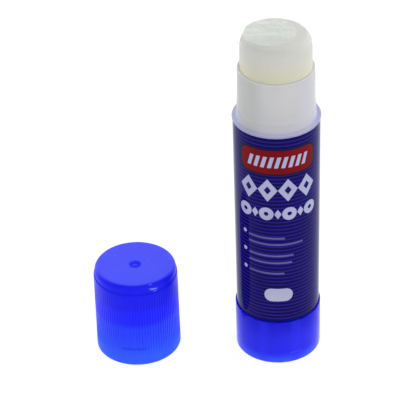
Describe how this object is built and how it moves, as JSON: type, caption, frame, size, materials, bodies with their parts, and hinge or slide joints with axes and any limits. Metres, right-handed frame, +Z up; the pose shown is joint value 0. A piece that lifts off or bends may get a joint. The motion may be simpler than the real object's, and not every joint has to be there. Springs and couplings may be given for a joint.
{
  "type": "glue stick",
  "caption": "Twist-up glue stick with a screw-driven carrier, a turning base knob, a printed film label and a ribbed cap standing beside it.",
  "frame": {"origin": "centre of the twist knob's foot, on the axis of the stick, at table level", "axes": "+Z up along the stick's axis, from the knob towards the glue; -X towards the cap standing beside it; -Y is the side with the print's front"},
  "size_m": [0.0541, 0.0211, 0.0855],
  "materials": {
    "barrel_plastic": "translucent natural white polypropylene, glossy",
    "label_film": "glossy printed film, dark blue with fine lighter rings",
    "knob_plastic": "translucent blue polypropylene, polished",
    "screw_plastic": "moulded white plastic",
    "carrier_plastic": "moulded white plastic",
    "glue": "waxy translucent off-white glue with a rubbed top",
    "cap_plastic": "translucent blue polypropylene, satin top and finely ribbed wall"
  },
  "bodies": {
    "barrel": {"barrel": "barrel_plastic", "label": "label_film"},
    "knob": {"twist_knob": "knob_plastic", "lead_screw": "screw_plastic"},
    "carrier": {"glue_carrier": "carrier_plastic", "glue_stick": "glue"},
    "cap": {"cap": "cap_plastic"}
  },
  "joints": [
    {"name": "glue_feed", "type": "slide", "parent": "barrel", "child": "carrier", "axis": [0, 0, 1], "range_m": [-0.011, 0.027]},
    {"name": "knob_twist", "type": "hinge", "parent": "barrel", "child": "knob", "pos_m": [0, 0, 0], "axis": [0, 0, 1], "range_deg": [-990.1, 2430.1]},
    {"name": "cap_lift", "type": "slide", "parent": "barrel", "child": "cap", "axis": [0, 0, 1], "range_m": [0, 0.09]}
  ],
  "couplings": [
    {"joint": "knob_twist", "follows": "glue_feed", "rad_per_m": 1570.8}
  ]
}
